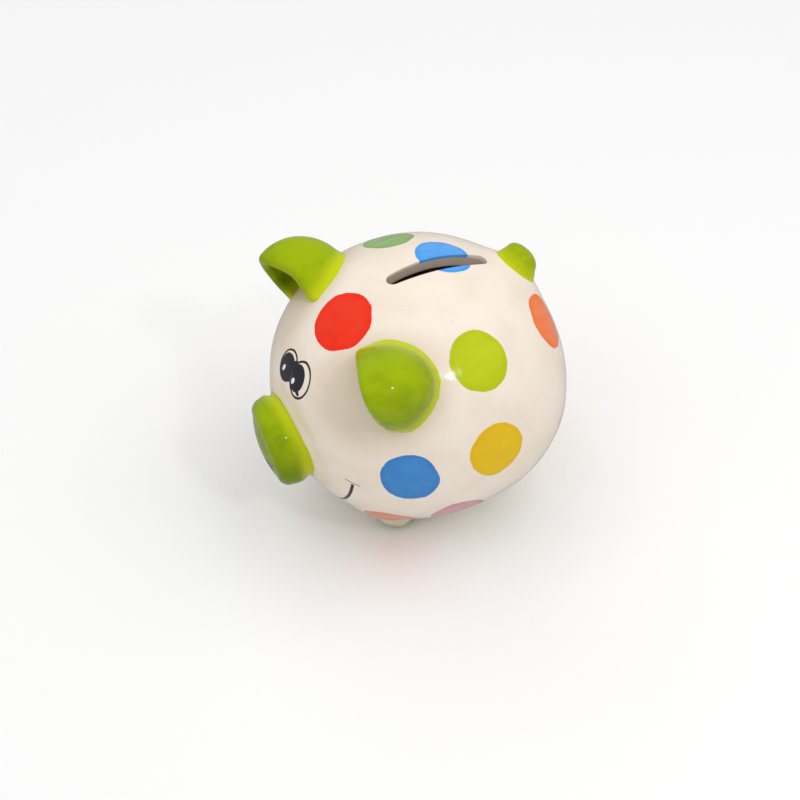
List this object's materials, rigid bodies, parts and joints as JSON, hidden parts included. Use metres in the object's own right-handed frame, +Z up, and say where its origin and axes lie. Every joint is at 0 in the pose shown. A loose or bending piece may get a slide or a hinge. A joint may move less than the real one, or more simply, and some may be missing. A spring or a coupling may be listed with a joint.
{
  "type": "ceramic piggy bank",
  "caption": "Round hand-painted ceramic pig money bank with a coin slot in its back and a soft stopper in its belly.",
  "frame": {"origin": "on the surface the feet stand on, below the middle of the whole pig", "axes": "+Z up, the face looks towards -Y, +X is the pig's left side"},
  "size_m": [0.0944, 0.1013, 0.0883],
  "materials": {
    "cream_glaze": "clear gloss glaze over cream earthenware with painted dots",
    "green_glaze": "clear gloss glaze over brushed lime green",
    "foot_glaze": "clear gloss glaze over thin watery green",
    "soft_rubber": "satin, slightly translucent soft stopper"
  },
  "bodies": {
    "pig": {"body_shell": "cream_glaze", "snout": "green_glaze", "ear_left": "green_glaze", "ear_right": "green_glaze", "tail": "green_glaze", "foot_front_left": "foot_glaze", "foot_front_right": "foot_glaze", "foot_rear_left": "foot_glaze", "foot_rear_right": "foot_glaze"},
    "stopper": {"stopper": "soft_rubber"}
  },
  "joints": [
    {"name": "stopper_pull", "type": "slide", "parent": "pig", "child": "stopper", "axis": [0, 0, -1], "range_m": [0, 0.02]}
  ]
}
